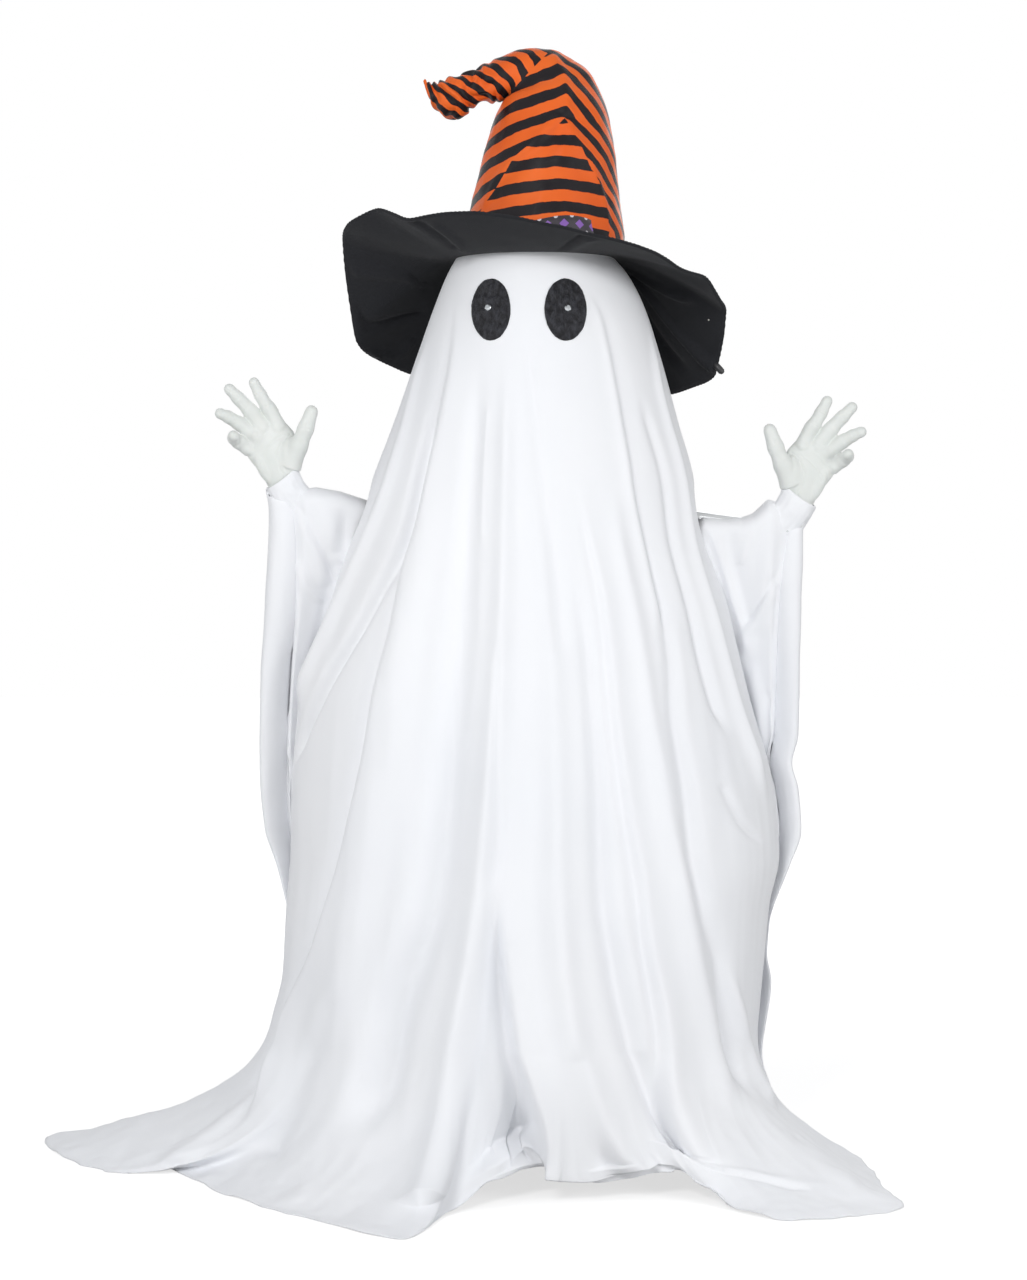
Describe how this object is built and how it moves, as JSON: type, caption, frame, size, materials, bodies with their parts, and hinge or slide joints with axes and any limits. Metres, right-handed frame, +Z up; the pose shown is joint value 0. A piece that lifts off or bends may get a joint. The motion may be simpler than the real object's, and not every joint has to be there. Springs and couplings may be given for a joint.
{
  "type": "animated ghost figure",
  "caption": "Life-size cloth ghost figure with raised posable hands and a floppy striped hat, on a motorised floor stand that turns the torso and lifts the arms.",
  "frame": {"origin": "centre of the base plate's underside, on the floor", "axes": "+Z up; the figure faces -Y; its left arm is on +X"},
  "size_m": [1.361, 1.068, 1.7575],
  "materials": {
    "black_metal": "satin powder coat",
    "zinc": "zinc plated",
    "steel": "ground",
    "rubber": "matte",
    "black_plastic": "fine texture",
    "nylon": "moulded",
    "board": "solder mask",
    "shell_plastic": "blow moulded",
    "vinyl": "soft vinyl",
    "cloth": "smooth woven polyester",
    "black_cloth": "crinkled",
    "felt": "coarse weave",
    "striped_satin": "printed satin stripes",
    "band_print": "printed ribbon",
    "crystal": "faceted"
  },
  "bodies": {
    "stand": {"base_plate": "black_metal", "leg_tube_front_left": "black_metal", "leg_tube_rear_left": "black_metal", "leg_tube_rear_right": "black_metal", "leg_tube_front_right": "black_metal", "foot_cap_front_left": "rubber", "foot_cap_rear_left": "rubber", "foot_cap_rear_right": "rubber", "foot_cap_front_right": "rubber", "lower_pole": "black_metal", "mid_pole": "zinc", "upper_pole": "zinc", "lower_collar": "black_plastic", "upper_collar": "black_plastic", "control_case": "black_plastic", "control_cover": "black_plastic", "circuit_board": "board", "speaker": "black_plastic", "power_jack": "black_plastic", "gearbox_housing": "black_plastic", "gearbox_cover": "black_plastic", "thrust_bearing": "steel", "swivel_motor": "zinc"},
    "switch_rocker": {"power_switch": "black_plastic"},
    "button_plunger": {"demo_button": "rubber"},
    "drive_pinion": {"swivel_pinion": "nylon"},
    "torso": {"swivel_gear": "nylon", "swivel_shaft": "steel", "chest_block": "black_plastic", "shoulder_plate_front": "zinc", "shoulder_plate_rear": "zinc", "neck_tube": "zinc", "neck_collar": "black_plastic", "left_shoulder_pin": "steel", "right_shoulder_pin": "steel", "left_arm_motor": "zinc", "right_arm_motor": "zinc", "head_shell_front": "shell_plastic", "head_shell_rear": "shell_plastic", "left_eye_led": "zinc", "right_eye_led": "zinc", "left_eye_patch": "black_cloth", "right_eye_patch": "black_cloth", "left_eye_lens": "crystal", "right_eye_lens": "crystal", "main_sheet": "cloth", "hat_brim": "felt", "hat_cone": "striped_satin", "hat_band": "band_print"},
    "left_pinion": {"left_arm_pinion": "nylon"},
    "right_pinion": {"right_arm_pinion": "nylon"},
    "left_arm": {"left_arm_tube": "zinc", "left_arm_gear": "nylon", "left_sleeve": "cloth"},
    "right_arm": {"right_arm_tube": "zinc", "right_arm_gear": "nylon", "right_sleeve": "cloth"},
    "left_palm": {"left_hand": "vinyl"},
    "right_palm": {"right_hand": "vinyl"}
  },
  "joints": [
    {"name": "torso_swivel", "type": "hinge", "parent": "stand", "child": "torso", "pos_m": [0, 0, 0.87], "axis": [0, 0, 1], "range_deg": [-20, 20]},
    {"name": "swivel_drive", "type": "hinge", "parent": "stand", "child": "drive_pinion", "pos_m": [0, 0.06, 0.87], "axis": [0, 0, 1], "range_deg": [-62, 62]},
    {"name": "power_rocker", "type": "hinge", "parent": "stand", "child": "switch_rocker", "pos_m": [0.03, 0.0618, 0.5383], "axis": [1, 0, 0], "range_deg": [-9, 9]},
    {"name": "button_press", "type": "slide", "parent": "stand", "child": "button_plunger", "axis": [0, -1, 0], "range_m": [0, 0.0025], "stiffness_N_per_m": 400},
    {"name": "left_arm_lift", "type": "hinge", "parent": "torso", "child": "left_arm", "pos_m": [0.14, 0, 1.0303], "axis": [0, -1, 0], "range_deg": [-12, 15], "deforming": ["left_sleeve"]},
    {"name": "right_arm_lift", "type": "hinge", "parent": "torso", "child": "right_arm", "pos_m": [-0.14, 0, 1.0303], "axis": [0, 1, 0], "range_deg": [-12, 15], "deforming": ["right_sleeve"]},
    {"name": "left_arm_drive", "type": "hinge", "parent": "torso", "child": "left_pinion", "pos_m": [0.092, 0, 1.0303], "axis": [0, -1, 0], "range_deg": [-47, 38]},
    {"name": "right_arm_drive", "type": "hinge", "parent": "torso", "child": "right_pinion", "pos_m": [-0.092, 0, 1.0303], "axis": [0, 1, 0], "range_deg": [-47, 38]},
    {"name": "left_hand_turn", "type": "hinge", "parent": "left_arm", "child": "left_palm", "pos_m": [0.434, -0.02, 1.05], "axis": [0.3256, 0, 0.9455], "range_deg": [-30, 30]},
    {"name": "right_hand_turn", "type": "hinge", "parent": "right_arm", "child": "right_palm", "pos_m": [-0.405, -0.02, 1.073], "axis": [-0.3256, 0, 0.9455], "range_deg": [-30, 30]}
  ],
  "couplings": [
    {"joint": "swivel_drive", "follows": "torso_swivel", "ratio": -3},
    {"joint": "left_arm_drive", "follows": "left_arm_lift", "ratio": -3},
    {"joint": "right_arm_drive", "follows": "right_arm_lift", "ratio": -3}
  ]
}
